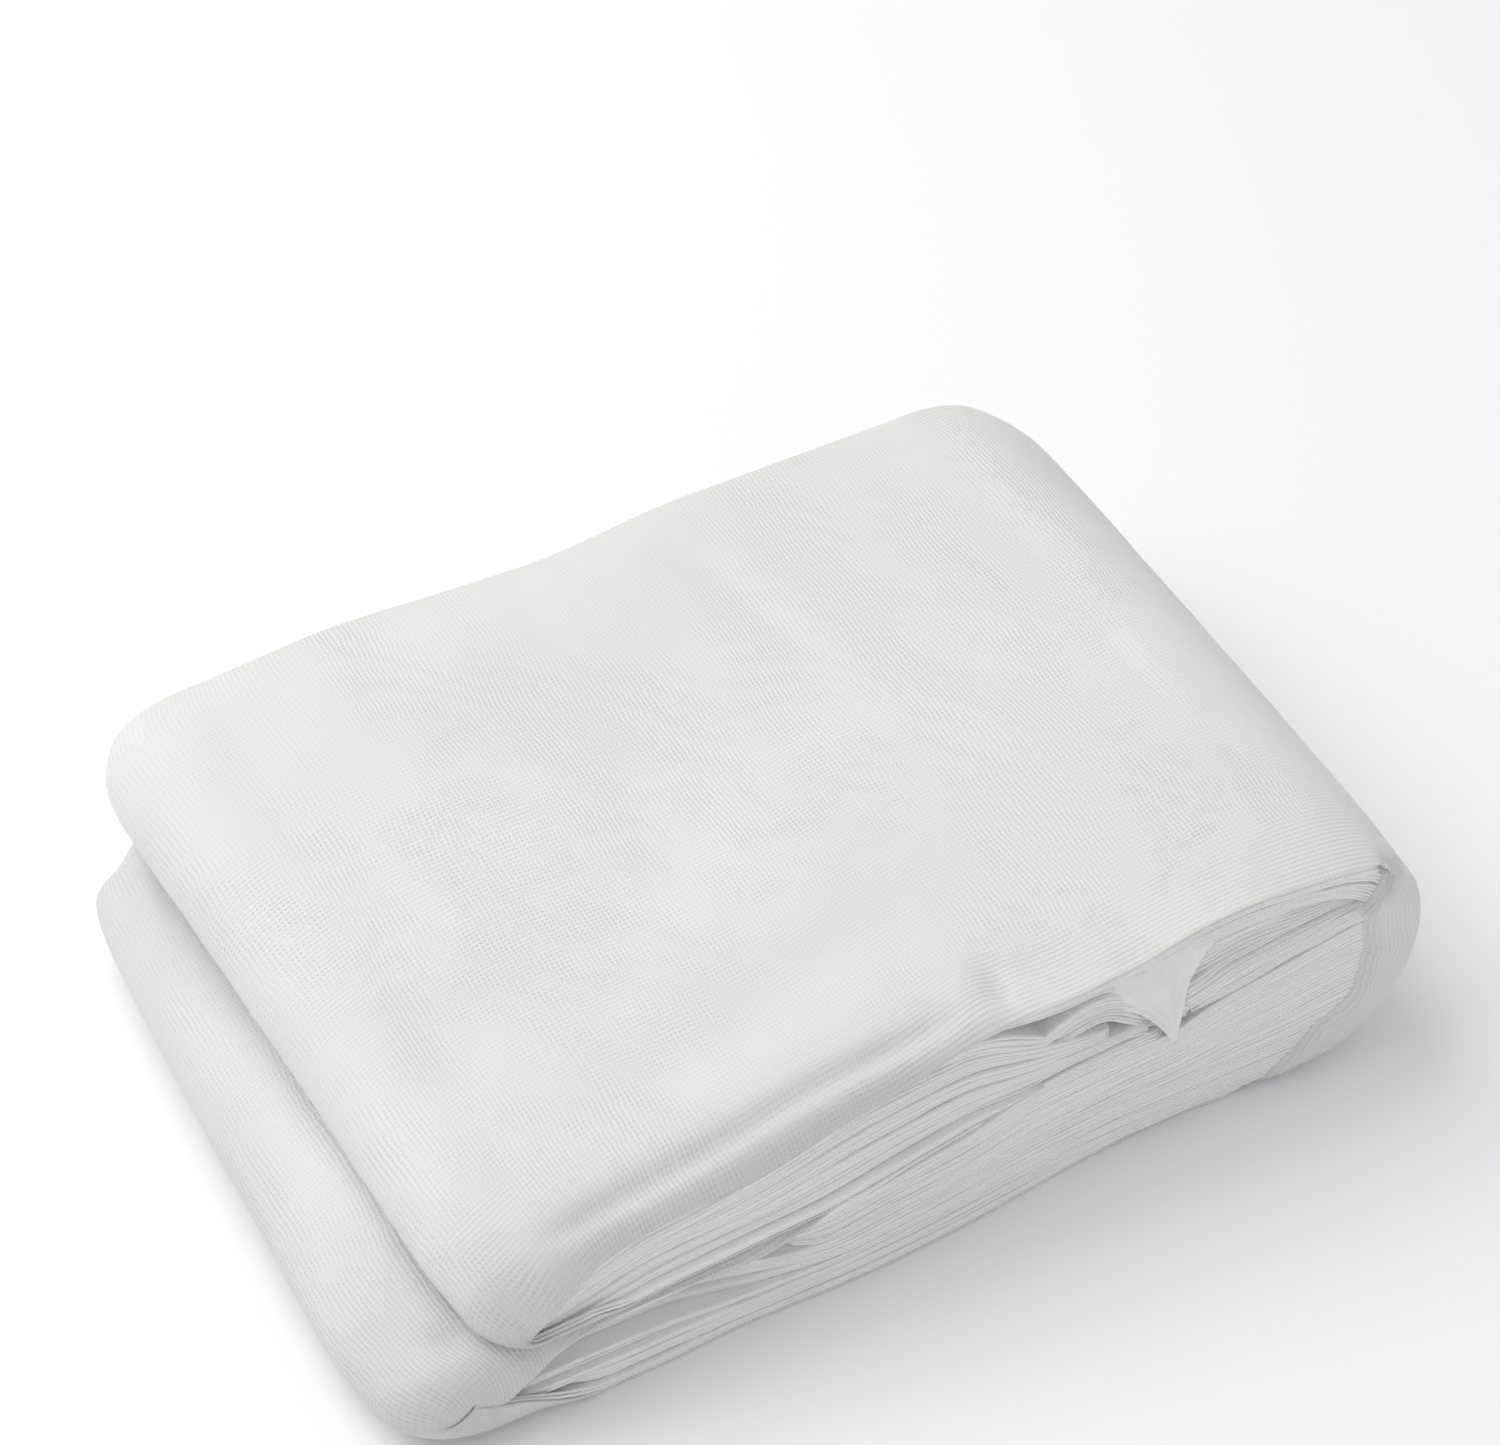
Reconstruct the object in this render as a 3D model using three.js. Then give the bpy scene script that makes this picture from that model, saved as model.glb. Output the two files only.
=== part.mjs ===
// A fine insect netting, folded lengthwise into a strip of plies, wound flat and folded in half.
// Millimetres, +Z up. The section of the layers lies in XZ and runs through the whole width in Y.
// The two round folds of the layers are at -X, the one big bend is at +X, the layer edges face -Y and +Y.
import * as THREE from "three";

// Outline of the bundle
const NEAR = -108;
const FAR = 115;

// Big bend at the right
const BEND_X = 133;
const BEND_Z = 42;
const BEND_R = 42;
const BEND_FULLNESS = 0.86;

// Strip: thickness and room between layers
const STRIP = 2.6;
const ROOM = 0.8;
const PITCH = STRIP + ROOM;
const THICKEST = 3.2;
const LOOPS = 2;
const ARM_ROOM = 1.2;

// Heights over the section, by x: top of the lower arm, top of the whole bundle, top of the folded passes of the upper arm
const HEIGHTS = [
  { x: -150, lower: 29, top: 54, upper: 46 },
  { x: -107, lower: 31, top: 59, upper: 52 },
  { x: -60, lower: 33, top: 68, upper: 61 },
  { x: -26, lower: 36, top: 74.5, upper: 67.5 },
  { x: 5, lower: 41, top: 78.5, upper: 68 },
  { x: 35, lower: 44, top: 80, upper: 62 },
  { x: 70, lower: 44, top: 81.5, upper: 56 },
  { x: 100, lower: 45, top: 83.5, upper: 55 },
  { x: 125, lower: 49, top: 84, upper: 55 },
  { x: 150, lower: 54, top: 84, upper: 55 },
];

// Folded passes of the lower arm from its top down: where each turns at the left and at the right
const LOWER_PASSES = [
  { left: -126, right: 92 },
  { left: -126, right: 143 },
  { left: -30, right: 143 },
  { left: -30, right: 150 },
  { left: -135, right: 150 },
  { left: -135, right: 149 },
  { left: -130, right: 149 },
  { left: -130, right: 141 },
  { left: -123, right: 141 },
];
const SHORT_FIRST = 2;
const SHORT_COUNT = 2;
const SHORT_START = -72;
const SHORT_END = -34;

// Folded passes of the upper arm from its underside up; the last one runs on into the slack fold in the mouth
const UPPER_PASSES = [
  { left: -95, right: 68 },
  { left: -95, right: 38 },
  { left: -97, right: 38 },
  { left: -97, right: 34 },
];

// Loop ends at the left, and the crotch where the loops turn between the arms
const UPPER_END_X = -96;
const UPPER_END_REACH = 27;
const LOWER_END_X = -122;
const LOWER_END_REACH = 25;
const CROTCH_X = 14;
const CROTCH_END = 24;
const CROTCH_FADE = 54;

// Stations of all layers stand at the same x, so that the layers keep apart between them
const STATION_STEP = 28;

// Changes across the width, by y: rise of the left half, shift of the upper fold to the left, crown of the top,
// rounded corners at the left and at the right of the plan, and how much of the near hang is felt
const ACROSS = [
  { y: -108, lift: 0, shift: -4, crown: 0, left: 10, right: 1.5, hang: 1 },
  { y: -100, lift: 0.004, shift: -3.7, crown: 0.002, left: 5, right: 0.4, hang: 0.6 },
  { y: -96, lift: 0.006, shift: -3.5, crown: 0.003, left: 3.5, right: 0.3, hang: 0.42 },
  { y: -76, lift: 0.02, shift: -2.6, crown: 0.008, left: 0, right: 0, hang: 0 },
  { y: -25, lift: 0.085, shift: 1.5, crown: 0.018, left: 0, right: 0, hang: 0 },
  { y: 30, lift: 0.2, shift: 8, crown: 0.019, left: 0, right: 0, hang: 0 },
  { y: 77, lift: 0.275, shift: 14.5, crown: 0.01, left: 1.5, right: 0, hang: 0 },
  { y: 102, lift: 0.29, shift: 18.5, crown: 0.004, left: 5, right: 1.5, hang: 0 },
  { y: 115, lift: 0.29, shift: 19, crown: 0, left: 13, right: 8, hang: 0 },
];

// Columns of the mesh across the width between the near and the far edge; the first ones follow the near edge
const INNER_COLUMNS = [-96, -76, -25, 30, 77, 102];
const FIRST_COLUMN = -96;
const CURL_ARCS = [1, 0.62, 0];
const CURL_RADIUS = 8;
const CURL_SOFT = 6;

const clamp = (v, lo, hi) => Math.min(hi, Math.max(lo, v));
const lerp = (a, b, t) => a + (b - a) * t;
const smooth = (a, b, v) => {
  const t = clamp((v - a) / (b - a), 0, 1);
  return t * t * (3 - 2 * t);
};
const hump = (a, b, c, d, v) => smooth(a, b, v) * (1 - smooth(c, d, v));

// Reads one column of a table by x, with an eased step between its rows
function along(table, column, x) {
  const last = table.length - 1;
  if (x <= table[0].x) return table[0][column];
  if (x >= table[last].x) return table[last][column];
  let i = 0;
  while (x > table[i + 1].x) i += 1;
  const before = table[Math.max(0, i - 1)];
  const a = table[i];
  const b = table[i + 1];
  const after = table[Math.min(last, i + 2)];
  const t = (x - a.x) / (b.x - a.x);
  const slopeA = ((b[column] - before[column]) / (b.x - before.x)) * (b.x - a.x);
  const slopeB = ((after[column] - a[column]) / (after.x - a.x)) * (b.x - a.x);
  const t2 = t * t;
  const t3 = t2 * t;
  return (
    (2 * t3 - 3 * t2 + 1) * a[column] +
    (t3 - 2 * t2 + t) * slopeA +
    (3 * t2 - 2 * t3) * b[column] +
    (t3 - t2) * slopeB
  );
}

// Reads the changes at one y, straight between the rows
function across(y) {
  let i = 0;
  while (i < ACROSS.length - 2 && y > ACROSS[i + 1].y) i += 1;
  const a = ACROSS[i];
  const b = ACROSS[i + 1];
  const t = clamp((y - a.y) / (b.y - a.y), 0, 1);
  const mixed = {};
  Object.keys(a).forEach((key) => {
    mixed[key] = lerp(a[key], b[key], t);
  });
  return mixed;
}

const lowerTop = (x) => along(HEIGHTS, "lower", x);
const bundleTop = (x) => along(HEIGHTS, "top", x);
const upperTop = (x) => along(HEIGHTS, "upper", x);

// Height and thickness of one folded pass of the lower arm at x
function lowerPass(index, x) {
  const all = LOWER_PASSES.length;
  const full = smooth(SHORT_START, SHORT_END, x);
  const firstGone = smooth(112, 138, x);
  const floor = LOOPS * PITCH;
  const roof = lowerTop(x) - LOOPS * PITCH * (1 - smooth(CROTCH_END, CROTCH_FADE, x));
  const count = all - SHORT_COUNT * (1 - full) - firstGone;
  let slot = index - firstGone;
  if (index >= SHORT_FIRST + SHORT_COUNT) slot -= SHORT_COUNT * (1 - full);
  const pitch = (roof - floor) / count;
  return { z: roof - pitch * (slot + 0.5), t: Math.min(THICKEST, pitch - ROOM) };
}

// Height and thickness of one folded pass of the upper arm at x
function upperPass(index, x) {
  const floor = lowerTop(x) + ARM_ROOM + PITCH * (LOOPS - smooth(CROTCH_END, CROTCH_FADE, x));
  const pitch = (upperTop(x) - floor) / UPPER_PASSES.length;
  return { z: floor + pitch * (index + 0.5), t: Math.min(THICKEST, pitch - ROOM) };
}

// The centre line is a list of stations {x, z, t, loop, arm}
// loop is 0 for the outermost turn, 1 for the next and -1 for the folded passes; arm is 0 lower, 1 upper
class Path {
  constructor() {
    this.stations = [];
    this.arm = 0;
  }

  add(x, z, t, loop) {
    this.stations.push({ x, z, t, loop, arm: this.arm });
  }

  // Straight-ish run between two x, with its own ends and the shared stations between them
  run(fromX, toX, loop, place) {
    const low = Math.min(fromX, toX);
    const high = Math.max(fromX, toX);
    const xs = [low];
    for (let x = Math.ceil(low / STATION_STEP) * STATION_STEP; x < high; x += STATION_STEP) {
      if (x - low > STATION_STEP * 0.3 && high - x > STATION_STEP * 0.3) xs.push(x);
    }
    xs.push(high);
    if (fromX > toX) xs.reverse();
    xs.forEach((x) => {
      const at = place(x);
      this.add(x, at.z, at.t, loop);
    });
  }

  // Round turn from the last station to the given one; reach is how far it bulges in x
  turn(to, reach, steps, loop, fullness = 1) {
    const from = this.stations[this.stations.length - 1];
    for (let i = 1; i < steps; i += 1) {
      const a = (Math.PI * i) / steps;
      const t = (1 - Math.cos(a)) / 2;
      const bulge = reach * Math.sin(a) ** fullness;
      this.add(lerp(from.x, to.x, t) + bulge, lerp(from.z, to.z, t), lerp(from.t, to.t, t), loop);
    }
  }
}

// One outer turn of the strip, from the crotch over the lower fold, the bottom, the big bend, the top and the upper fold
function addLoop(path, loop) {
  const inset = PITCH * (loop + 0.5) - ROOM / 2;
  const overLower = (x) => ({ z: lowerTop(x) - inset, t: STRIP });
  const bottom = () => ({ z: inset, t: STRIP });
  const overAll = (x) => ({ z: bundleTop(x) - inset, t: STRIP });
  const sink = (x) => loop * PITCH * smooth(CROTCH_END, CROTCH_FADE, x);
  const underUpper = (x) => ({ z: lowerTop(x) + ARM_ROOM + inset - sink(x), t: STRIP });
  path.arm = 0;
  path.run(loop === 0 ? CROTCH_X - 6 : CROTCH_X + 4, LOWER_END_X, loop, overLower);
  path.turn({ x: LOWER_END_X, z: inset, t: STRIP }, -(LOWER_END_REACH - inset), 8, loop);
  path.run(LOWER_END_X, BEND_X, loop, bottom);
  path.turn({ x: BEND_X, z: bundleTop(BEND_X) - inset, t: STRIP }, BEND_R - inset, 12, loop, BEND_FULLNESS);
  path.arm = 1;
  path.run(BEND_X, UPPER_END_X, loop, overAll);
  path.turn({ x: UPPER_END_X, ...underUpper(UPPER_END_X) }, -(UPPER_END_REACH - inset), 8, loop);
  path.run(UPPER_END_X, loop === 0 ? CROTCH_X + 4 : UPPER_PASSES[0].right, loop, underUpper);
}

function buildPath() {
  const path = new Path();
  addLoop(path, 0);
  const crotchEnd = { x: CROTCH_X + 4, z: lowerTop(CROTCH_X + 4) - PITCH * 1.5 + ROOM / 2, t: STRIP };
  path.turn(crotchEnd, 5, 4, 1);
  addLoop(path, 1);
  addUpperPasses(path);
  addMouthFold(path);
  addLowerPasses(path);
  return path.stations;
}

function addUpperPasses(path) {
  UPPER_PASSES.forEach((pass, i) => {
    const place = (x) => upperPass(i, x);
    const goesLeft = i % 2 === 0;
    const fromX = goesLeft ? pass.right : pass.left;
    const toX = goesLeft ? pass.left : pass.right;
    const from = place(fromX);
    const before = path.stations[path.stations.length - 1];
    const reach = Math.abs(from.z - before.z) / 2;
    path.turn({ x: fromX, ...from }, goesLeft ? reach : -reach, 4, -1);
    path.run(fromX, toX, -1, place);
  });
}

// Slack fold: the last upper pass rises under the top, then falls across the mouth to the lower arm
function addMouthFold(path) {
  const points = [
    { x: 50, z: 65 },
    { x: 59, z: 65.5 },
    { x: 69, z: 61 },
    { x: 80, z: 54 },
    { x: 90, z: 49.5 },
    { x: 95, z: 46.5 },
  ];
  points.forEach((p) => path.add(p.x, p.z, 2.2, -1));
}

function addLowerPasses(path) {
  path.arm = 0;
  LOWER_PASSES.forEach((pass, i) => {
    const place = (x) => lowerPass(i, x);
    const goesLeft = i % 2 === 0;
    const fromX = goesLeft ? pass.right : pass.left;
    const toX = goesLeft ? pass.left : pass.right;
    const from = place(fromX);
    const before = path.stations[path.stations.length - 1];
    const reach = Math.abs(from.z - before.z) / 2;
    if (i > 0) path.turn({ x: fromX, ...from }, goesLeft ? reach : -reach, 4, -1);
    path.run(fromX, toX, -1, place);
  });
}

// Smooth unevenness without a random source
function wave(seed, x) {
  return Math.sin(x * 0.031 + seed * 2.4) * 0.6 + Math.sin(x * 0.083 + seed * 5.1) * 0.4;
}

// How much of the near edge of the outermost turn curls in towards the layers, in mm of cloth
function curlAmount(station) {
  if (station.loop !== 0) return 0;
  const angle = Math.atan2(station.z - BEND_Z, station.x - BEND_X);
  const atBend = station.x > 100 ? hump(-1.75, -0.9, 0.1, 0.72, angle) * smooth(100, 122, station.x) : 0;
  const lower = station.z < lowerTop(station.x) + ARM_ROOM / 2;
  const atLowerEnd = lower ? 1 - smooth(-126, -98, station.x) : 0;
  return 24 * atBend + 11 * atLowerEnd;
}

// How far the near edge of the upper arm hangs down: the slack corner at the left, the side, and over the mouth
function topDroop(x) {
  const corner = 12 * (1 - smooth(-122, -80, x));
  const side = 5 * hump(-120, -95, -45, -5, x);
  const overMouth = 4 * hump(22, 48, 76, 102, x);
  const shoulder = 4.5 * smooth(110, 142, x);
  return corner + side + overMouth + shoulder;
}

// Presses the upper arm down near its edge and leaves the lower arm as it is
function pressed(x, z, hang) {
  const base = Math.min(lowerTop(x), bundleTop(x) - 20);
  if (z <= base) return z;
  return base + (z - base) * (1 - (topDroop(x) * hang) / (bundleTop(x) - base));
}

// Where the near and the far edge of a layer lie
function edges(station, index) {
  const { x, z } = station;
  let near = NEAR + 5 * smooth(-20, 90, x);
  let far = FAR - 3 * smooth(50, 130, x);
  if (station.loop < 0) {
    near += 4 + 1.6 * wave(index * 0.37, x);
    far -= 4 + 1.6 * wave(index * 0.37 + 9, x);
    const inLowerFold = (1 - smooth(-60, -10, x)) * smooth(9, 15, z) * (1 - smooth(30, 34, z));
    near += 9 * inLowerFold;
    near += 7 * smooth(118, 140, x);
  }
  if (station.loop === 1) {
    near += 2.5 + 6 * smooth(88, 112, x) + 5 * (1 - smooth(-112, -84, x));
    far -= 2;
  }
  if (station.loop === 0) {
    near += 0.8 * wave(1.3, x);
    far += 0.8 * wave(4.4, x);
  }
  return { near, far };
}

// Moves a section point at width position y to its place in the bundle
function place(x, y, z, arm) {
  const at = across(y);
  const left = 1 - smooth(-150, -60, x);
  const right = smooth(90, 165, x);
  const low = pressed(x, z, at.hang);
  const px = x - left * arm * at.shift + left * at.left - right * at.right;
  const lift = 1 + at.lift * (1 - smooth(-115, 25, x));
  const crown = 1 + at.crown * smooth(20, 60, z);
  return new THREE.Vector3(px, y, low * lift * crown);
}

// Width position and inward offset of the strip's edge column where the cloth curls in
function curled(near, curl, column, offset) {
  const arc = curl * CURL_ARCS[column];
  const angle = Math.min(arc / CURL_RADIUS, Math.PI / 2);
  const past = Math.max(0, arc - (CURL_RADIUS * Math.PI) / 2);
  const y = near + CURL_RADIUS - (CURL_RADIUS - offset) * Math.sin(angle);
  const inward = CURL_RADIUS - (CURL_RADIUS - offset) * Math.cos(angle) + past;
  return { y, inward };
}

// Width position of a column where the strip lies flat
function flatColumn(column, near, far) {
  const first = Math.max(FIRST_COLUMN, near + 3);
  if (column === 0) return near;
  if (column === 1) return (near + first) / 2;
  if (column === 2) return first;
  if (column === INNER_COLUMNS.length + 2) return far;
  return INNER_COLUMNS[column - 2];
}

// One point of the strip: side is -1 for its outer face and +1 for its inner face
function stripPoint(station, normal, index, column, side) {
  const { near, far } = edges(station, index);
  const curl = curlAmount(station);
  const offset = (side * station.t) / 2;
  let y = flatColumn(column, near, far);
  let inward = offset;
  if (column < CURL_ARCS.length && curl > 0) {
    const bent = curled(near, curl, column, offset);
    const share = smooth(0, CURL_SOFT, curl);
    y = lerp(y, bent.y, share);
    inward = lerp(inward, bent.inward, share);
  }
  return place(station.x + normal.x * inward, y, station.z + normal.z * inward, station.arm);
}

function normals(stations) {
  return stations.map((s, i) => {
    const a = stations[Math.max(0, i - 1)];
    const b = stations[Math.min(stations.length - 1, i + 1)];
    const dx = b.x - a.x;
    const dz = b.z - a.z;
    const d = Math.hypot(dx, dz);
    return { x: -dz / d, z: dx / d };
  });
}

// Closed strip: a ring of points at each station, joined to the next ring, and a cap at both ends
function stripGeometry(stations) {
  const n = normals(stations);
  const width = INNER_COLUMNS.length + 3;
  const ring = 2 * width;
  const points = [];
  stations.forEach((s, k) => {
    for (let c = 0; c < width; c += 1) points.push(stripPoint(s, n[k], k, c, -1));
    for (let c = width - 1; c >= 0; c -= 1) points.push(stripPoint(s, n[k], k, c, 1));
  });
  const faces = [];
  const quad = (a, b, c, d) => faces.push(a, b, c, a, c, d);
  for (let k = 0; k + 1 < stations.length; k += 1) {
    const goesRight = stations[k + 1].x > stations[k].x;
    for (let c = 0; c < ring; c += 1) {
      const next = (c + 1) % ring;
      const corners = [k * ring + c, k * ring + next, (k + 1) * ring + next, (k + 1) * ring + c];
      // Faces that lie on each other are split along the same diagonal
      const sameSplit = goesRight === c < width;
      if (!sameSplit) corners.push(corners.shift());
      quad(...corners);
    }
  }
  const last = (stations.length - 1) * ring;
  for (let c = 0; c + 1 < width; c += 1) {
    const mirror = ring - 1 - c;
    quad(c, mirror, mirror - 1, c + 1);
    quad(last + c, last + c + 1, last + mirror - 1, last + mirror);
  }
  const geometry = new THREE.BufferGeometry();
  geometry.setAttribute("position", new THREE.Float32BufferAttribute(points.flatMap((p) => p.toArray()), 3));
  geometry.setIndex(faces);
  geometry.computeBoundingBox();
  const middle = geometry.boundingBox.getCenter(new THREE.Vector3());
  geometry.translate(-middle.x, -middle.y, 0);
  geometry.computeVertexNormals();
  return geometry;
}

const white = new THREE.MeshStandardMaterial({ color: 0xe9e9e4, roughness: 0.9, metalness: 0 });
const netting = new THREE.Mesh(stripGeometry(buildPath()), white);
netting.name = "netting";

const bundle = new THREE.Group();
bundle.name = "netting_bundle";
bundle.add(netting);

export default bundle;
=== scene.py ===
import math

import bpy
import numpy as np
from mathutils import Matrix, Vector


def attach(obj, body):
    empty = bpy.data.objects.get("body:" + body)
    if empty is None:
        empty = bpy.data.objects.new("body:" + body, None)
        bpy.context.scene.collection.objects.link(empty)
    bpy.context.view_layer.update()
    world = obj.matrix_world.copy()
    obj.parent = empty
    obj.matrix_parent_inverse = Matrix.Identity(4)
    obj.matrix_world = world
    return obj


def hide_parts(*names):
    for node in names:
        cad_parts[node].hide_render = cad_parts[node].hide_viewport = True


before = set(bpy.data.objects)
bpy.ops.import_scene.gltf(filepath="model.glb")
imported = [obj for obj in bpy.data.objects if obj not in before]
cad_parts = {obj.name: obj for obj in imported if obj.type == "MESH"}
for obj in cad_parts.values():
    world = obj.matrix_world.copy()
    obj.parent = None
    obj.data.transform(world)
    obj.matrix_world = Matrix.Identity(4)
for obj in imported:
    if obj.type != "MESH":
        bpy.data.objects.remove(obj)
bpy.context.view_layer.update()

# Lengths in the tables are millimetres in the frame of the section
MM = 0.001

# Where the part's own origin lies in the frame of the section
ORIGIN = (14.0, 3.2, 0.0)

# Outline of the bundle: near and far edge by y, and centre, radius and fullness of the bend
NEAR = -108.0
FAR = 115.0
BEND_X = 133.0
BEND_Z = 42.0
BEND_R = 42.0
BEND_FULLNESS = 0.86

# Strip: thickness, room between layers, number of outer turns, and room between the arms
STRIP = 2.6
ROOM = 0.8
PITCH = STRIP + ROOM
LOOPS = 2
ARM_ROOM = 1.2

# Heights by x: top of the lower arm, top of the bundle, top of the folded passes of the upper arm
HEIGHT_X = [-150, -107, -60, -26, 5, 35, 70, 100, 125, 150]
LOWER_TOP = [29, 31, 33, 36, 41, 44, 44, 45, 49, 54]
BUNDLE_TOP = [54, 59, 68, 74.5, 78.5, 80, 81.5, 83.5, 84, 84]
UPPER_TOP = [46, 52, 61, 67.5, 71, 71, 57.5, 49, 49, 52]

# Folded passes as (left turn, right turn), lower arm from its top down, upper arm from its underside up
LOWER_PASSES = [(-126, 92), (-126, 161), (-30, 161), (-30, 162), (-135, 162),
                (-135, 158), (-130, 158), (-130, 147), (-123, 143)]
UPPER_PASSES = [(-106, 84), (-106, 70), (-104, 70), (-104, 50)]

# Short passes of the lower arm: index of the first, how many, and the stretch of x in which they come in
SHORT_FIRST = 2
SHORT_COUNT = 2
SHORT_START = -72
SHORT_END = -34

# Fold over the mouth in which the passes of the upper arm end: section points and thickness
MOUTH_FOLD = [(58, 67.3), (67, 68.0), (76, 63.8), (83, 56.5), (89, 50.8), (97, 47)]
MOUTH_THICK = 3.6

# Inner turns that line the mouth: how many and how far apart; start and end are x of the first and its step
LINERS = 6
LINER_FIRST = 1.3
LINER_PITCH = 1.0
LINER_THICK = 0.92
LINER_START = (77, 1.3)
LINER_END = (98, 2.6)
LINER_LOOP = 1.5

# Slack layers that lie under the mouth fold: section points and thickness
FILLS = [
    [(36, 73.0), (48, 72.6), (60, 72.6), (70, 71.4), (79, 66.6), (85, 60.4), (89, 55.6)],
    [(40, 60.6), (52, 62.4), (62, 63.8), (70, 62.4), (77, 57.4), (82.5, 52.4), (88, 48.4), (92, 46.4)],
    [(44, 57.0), (56, 59.0), (67, 60.2), (73, 57.4), (78, 52.8), (83, 49.0), (87, 46.8), (91, 45.4)],
]
FILL_THICK = 1.9

# Slack layers that fill the mouth: points of the lowest one, and how much higher each next one passes
SLACKS = 7
SLACK_LINE = [(93, 47.4), (101, 49.2), (112, 53.4), (128, 57.0), (142, 60.1), (154, 62.2)]
SLACK_RISE = [(0.4, 3.2), (0.2, 2.9), (0, 2.35), (0, 1.85), (0, 1.2), (-0.1, 0.6)]
SLACK_SHARE = 0.93

# Radius in plan of the corners where folded passes turn: left of the lower arm, elsewhere, in the bend
CORNER_R = 13.0
CORNER_RIGHT = 2.5
CORNER_BEND = 2.0

# Ends of the loops and the crotch between the arms
UPPER_END_X = -96
UPPER_END_REACH = 27
NOSE_FULLNESS = (0.95, 0.4)
LOWER_END_X = -122
LOWER_END_REACH = 25
CROTCH_END = 24
CROTCH_FADE = 54
LOOP_END_X = 50

# Changes across the width by y: lift and shift at the left, crown, pull at both ends, hang at the near edge
ACROSS_Y = [-108, -100, -96, -76, -25, 30, 77, 102, 115]
ACROSS = {
    "lift": [0, 0.004, 0.006, 0.02, 0.085, 0.2, 0.275, 0.29, 0.29],
    "shift": [-4, -3.7, -3.5, -2.6, 1.5, 8, 14.5, 18.5, 19],
    "crown": [0, 0.002, 0.003, 0.008, 0.018, 0.019, 0.01, 0.004, 0],
    "left": [10, 5, 3.5, 0, 0, 0, 1.5, 5, 13],
    "right": [1.5, 0.4, 0.3, 0, 0, 0, 0, 1.5, 8],
    "hang": [1, 0.6, 0.42, 0, 0, 0, 0, 0, 0],
}

# How much cloth turns in at the near edge, by x: over the lower arm, under it, on top of the bundle
LIP_X = [-147, -121, -113, -101, -86, -61, -39, -20, -5]
LIP_CURL = [22, 19, 14.6, 9, 6, 6, 9, 5, 0]
FOOT_X = [-147, -121, -100, -88, -76]
FOOT_CURL = [22, 17, 8, 3, 0]
ROLL_X = [-112, -98, -84, -60, -30, 5, 30, 50, 66]
ROLL_CURL = [12, 11, 11, 11, 13, 12, 8, 3, 0]

# Kinds of layers: folded pass, first and second turn, inner turn, slack layer, layer under the mouth fold
FOLD = -1
OUTER = 0
SECOND = 1
LINING = 2
SLACK = 3
FILLING = 4

# Plies that one layer of the strip is drawn as
PLIES = 3
UPPER_PLIES = 5
LOWER_PLIES = 4

# Half a ply's thickness as a share of its room, what a layer fills beyond its own thickness, rim of a ply
PLY_SHARE = 0.47
PLY_FILL = 0.66
EDGE_R = 0.45

# Near edge: lean of the upper arm's side, and the groove behind its rolled edge
SIDE_SLOPE = 5.5
ROLL_GROOVE = 3.0

# Band that turns in round the bend: its width, how deep its edge dives, and its start and end by angle
BAND_WIDTH = 26
BAND_TUCK = 5.0
BAND_ANGLES = (-2.1, -1.25, 0.62, 1.12)

# Soft creases of the top: height, x, y, width along and across, turn in degrees
CREASES = [
    (-1.3, 50, 68, 6, 26, 12),
    (1.0, 62, 66, 9, 26, 12),
    (-2.4, 96, 12, 42, 14, -50),
    (1.0, 82, -6, 40, 12, -50),
    (-1.3, 41, -92, 3.0, 9, -8),
    (1.1, 33, -90, 6, 12, -8),
    (-2.0, -20, -70, 60, 14, 12),
    (1.0, -30, -40, 60, 16, 12),
]

# Flattened facet at the far end of the lower arm: a point of its edge and the direction it falls away to
FACET_AT = (-127.0, 114.0)
FACET_SIDE = (-0.947, 0.321)

# Cloth that curls in: its radius, and the width of curled cloth at which the curl is whole
CURL_RADIUS = 8.0
CURL_SOFT = 6.0

# How finely the cloth is divided along the strip
SKIN_STEP = 2.4
LAYER_STEP = 5.0
LINER_STEP = 3.0
SLACK_STEP = 2.5

# Columns across the strip: distances from the near edge, shares of the rest, distances from the far edge
SKIN_COLUMNS = (
    np.concatenate([[0, 0.2, 0.6, 1.2], np.arange(2.0, 42.0, 1.5)]),
    np.linspace(0, 1, 66)[1:-1],
    [14, 10, 7, 4.5, 2.6, 1.2, 0.6, 0.2, 0],
)
INNER_COLUMNS = (
    [0, 0.2, 0.6, 1.2, 2.4, 4.5, 8, 13, 20, 30],
    np.linspace(0, 1, 7)[1:-1],
    [20, 13, 8, 4.5, 2.4, 1.2, 0.6, 0.2, 0],
)

# Slack corner of the net in the mouth: points down its left side and down its right side
FLAP_LEFT = [(50, -97, 79), (63, -98.5, 68), (76, -99.5, 58), (85.5, -101.5, 49), (90.8, -103.5, 40)]
FLAP_RIGHT = [(120, -97, 79), (106, -98.5, 68), (98, -99.5, 58), (94.5, -101.5, 49), (92.2, -103.5, 40)]
FLAP_BULGE = 4.0
FLAP_ROWS = 40
FLAP_COLUMNS = 40
FLAP_THICK = 0.6
FLAP_MAP = (44.0, 30.0)

# Dense threads beside the selvedge, in metres: start and end along the strip, width, and spacing
SELVEDGE_THREADS = (0.43, 0.78, 0.031, 0.0014)

# Net of the outermost ply and of the layers: colour of thread and of hole, spacing and relief in metres. The
# layers' net is painted lighter than the outermost ply's, as painted light that lifts the shade between the
# plies and in the mouth
SKIN_NET = ((0.85, 0.845, 0.825), (0.64, 0.64, 0.63), 0.0013, 0.00016)
LAYER_NET_PAINTED_LIGHT = ((0.965, 0.962, 0.952), (0.92, 0.92, 0.91), 0.0014, 0.00009)

# Share of the light that passes through, how dark the net is in its soft patches, and how dark the painted
# shade at the rims makes it
SEE_THROUGH = 0.1
CLOUD_TONE = 0.955
RIM_PAINTED_SHADE = 0.88
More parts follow.
